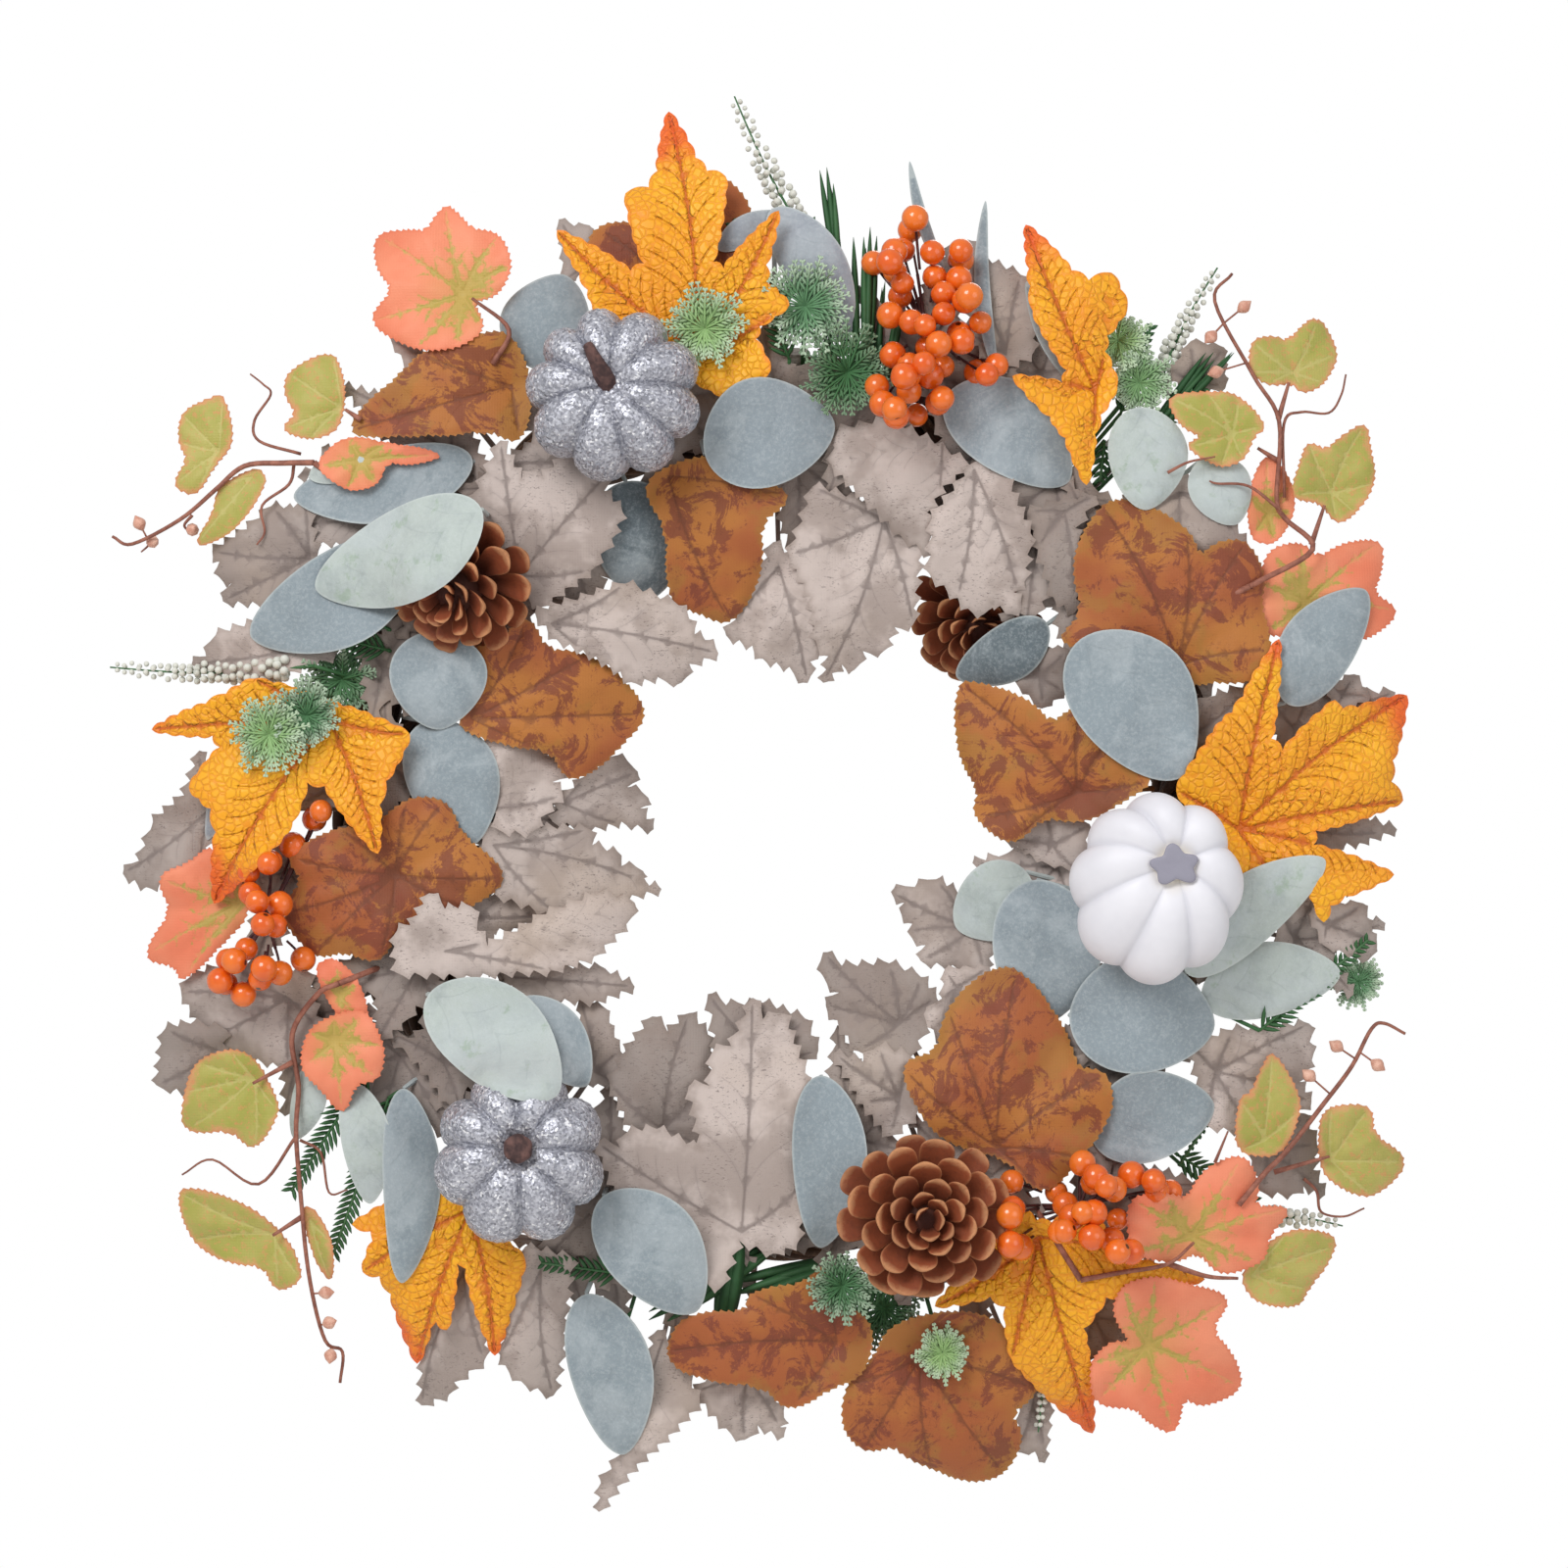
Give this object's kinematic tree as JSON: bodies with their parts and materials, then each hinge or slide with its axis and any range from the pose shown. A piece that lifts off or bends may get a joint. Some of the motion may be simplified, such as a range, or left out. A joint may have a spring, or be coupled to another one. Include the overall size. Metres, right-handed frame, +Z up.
{
  "type": "door wreath",
  "caption": "Hanging harvest wreath: a twisted vine ring dressed with autumn leaves, mini pumpkins, pine cones and berries, with a hinged hanging ring at the back.",
  "frame": {"origin": "hinge line of the hanging ring, behind the top of the vine ring", "axes": "+Z up, +Y towards the door, so the decorated front faces -Y, +X to the right seen from the front"},
  "size_m": [0.4985, 0.1097, 0.541],
  "materials": {
    "hoop_wire": "plain drawn wire",
    "vine_bark": "rough dry bark",
    "band_paper": "brown floral tape",
    "hanger_metal": "dull antique steel",
    "silver_glitter": "silver glitter over foam",
    "white_pumpkin": "soft white satin",
    "pumpkin_stalk": "dark dry stalk",
    "cone_scale": "dry natural scales",
    "berry_gloss": "lacquered berry",
    "yellow_leaf_cloth": "embossed printed cloth",
    "rust_leaf_cloth": "printed cloth",
    "taupe_leaf_cloth": "printed cloth",
    "sage_flock": "short flock",
    "ivy_leaf_cloth": "printed cloth",
    "greens_plastic": "moulded greenery"
  },
  "bodies": {
    "wreath": {"berry_spray_left": "berry_gloss", "berry_spray_low": "berry_gloss", "berry_spray_top": "berry_gloss", "binding_band_1": "band_paper", "binding_band_2": "band_paper", "binding_band_3": "band_paper", "binding_band_4": "band_paper", "core_hoop": "hoop_wire", "greens_left": "greens_plastic", "greens_low": "greens_plastic", "greens_right_top": "greens_plastic", "greens_top": "greens_plastic", "hanger_strap": "hanger_metal", "ivy_vine_left_low": "ivy_leaf_cloth", "ivy_vine_left_top": "ivy_leaf_cloth", "ivy_vine_right_low": "ivy_leaf_cloth", "ivy_vine_right_top": "ivy_leaf_cloth", "pine_cone_inner": "cone_scale", "pine_cone_left": "cone_scale", "pine_cone_low": "cone_scale", "pumpkin_silver_low": "silver_glitter", "pumpkin_silver_top": "silver_glitter", "pumpkin_stem_silver_low": "pumpkin_stalk", "pumpkin_stem_silver_top": "pumpkin_stalk", "pumpkin_stem_white": "pumpkin_stalk", "pumpkin_white": "white_pumpkin", "rust_leaf_1": "rust_leaf_cloth", "rust_leaf_10": "rust_leaf_cloth", "rust_leaf_2": "rust_leaf_cloth", "rust_leaf_3": "rust_leaf_cloth", "rust_leaf_4": "rust_leaf_cloth", "rust_leaf_5": "rust_leaf_cloth", "rust_leaf_6": "rust_leaf_cloth", "rust_leaf_7": "rust_leaf_cloth", "rust_leaf_8": "rust_leaf_cloth", "rust_leaf_9": "rust_leaf_cloth", "sage_left_top": "sage_flock", "sage_low": "sage_flock", "sage_right_low": "sage_flock", "sage_right_mid": "sage_flock", "sage_right_top": "sage_flock", "sage_top": "sage_flock", "taupe_inner_left": "taupe_leaf_cloth", "taupe_inner_left_top": "taupe_leaf_cloth", "taupe_inner_top": "taupe_leaf_cloth", "taupe_low": "taupe_leaf_cloth", "taupe_outer_left": "taupe_leaf_cloth", "taupe_outer_left_top": "taupe_leaf_cloth", "taupe_right_low": "taupe_leaf_cloth", "taupe_right_top": "taupe_leaf_cloth", "vine_strand_1": "vine_bark", "vine_strand_2": "vine_bark", "vine_strand_3": "vine_bark", "yellow_leaf_1": "yellow_leaf_cloth", "yellow_leaf_2": "yellow_leaf_cloth", "yellow_leaf_3": "yellow_leaf_cloth", "yellow_leaf_4": "yellow_leaf_cloth", "yellow_leaf_5": "yellow_leaf_cloth", "yellow_leaf_6": "yellow_leaf_cloth"},
    "hanger_ring": {"hanger_ring": "hanger_metal"}
  },
  "joints": [
    {"name": "hanger_swing", "type": "hinge", "parent": "wreath", "child": "hanger_ring", "pos_m": [0, 0, 0], "axis": [1, 0, 0], "range_deg": [0, 175]}
  ]
}
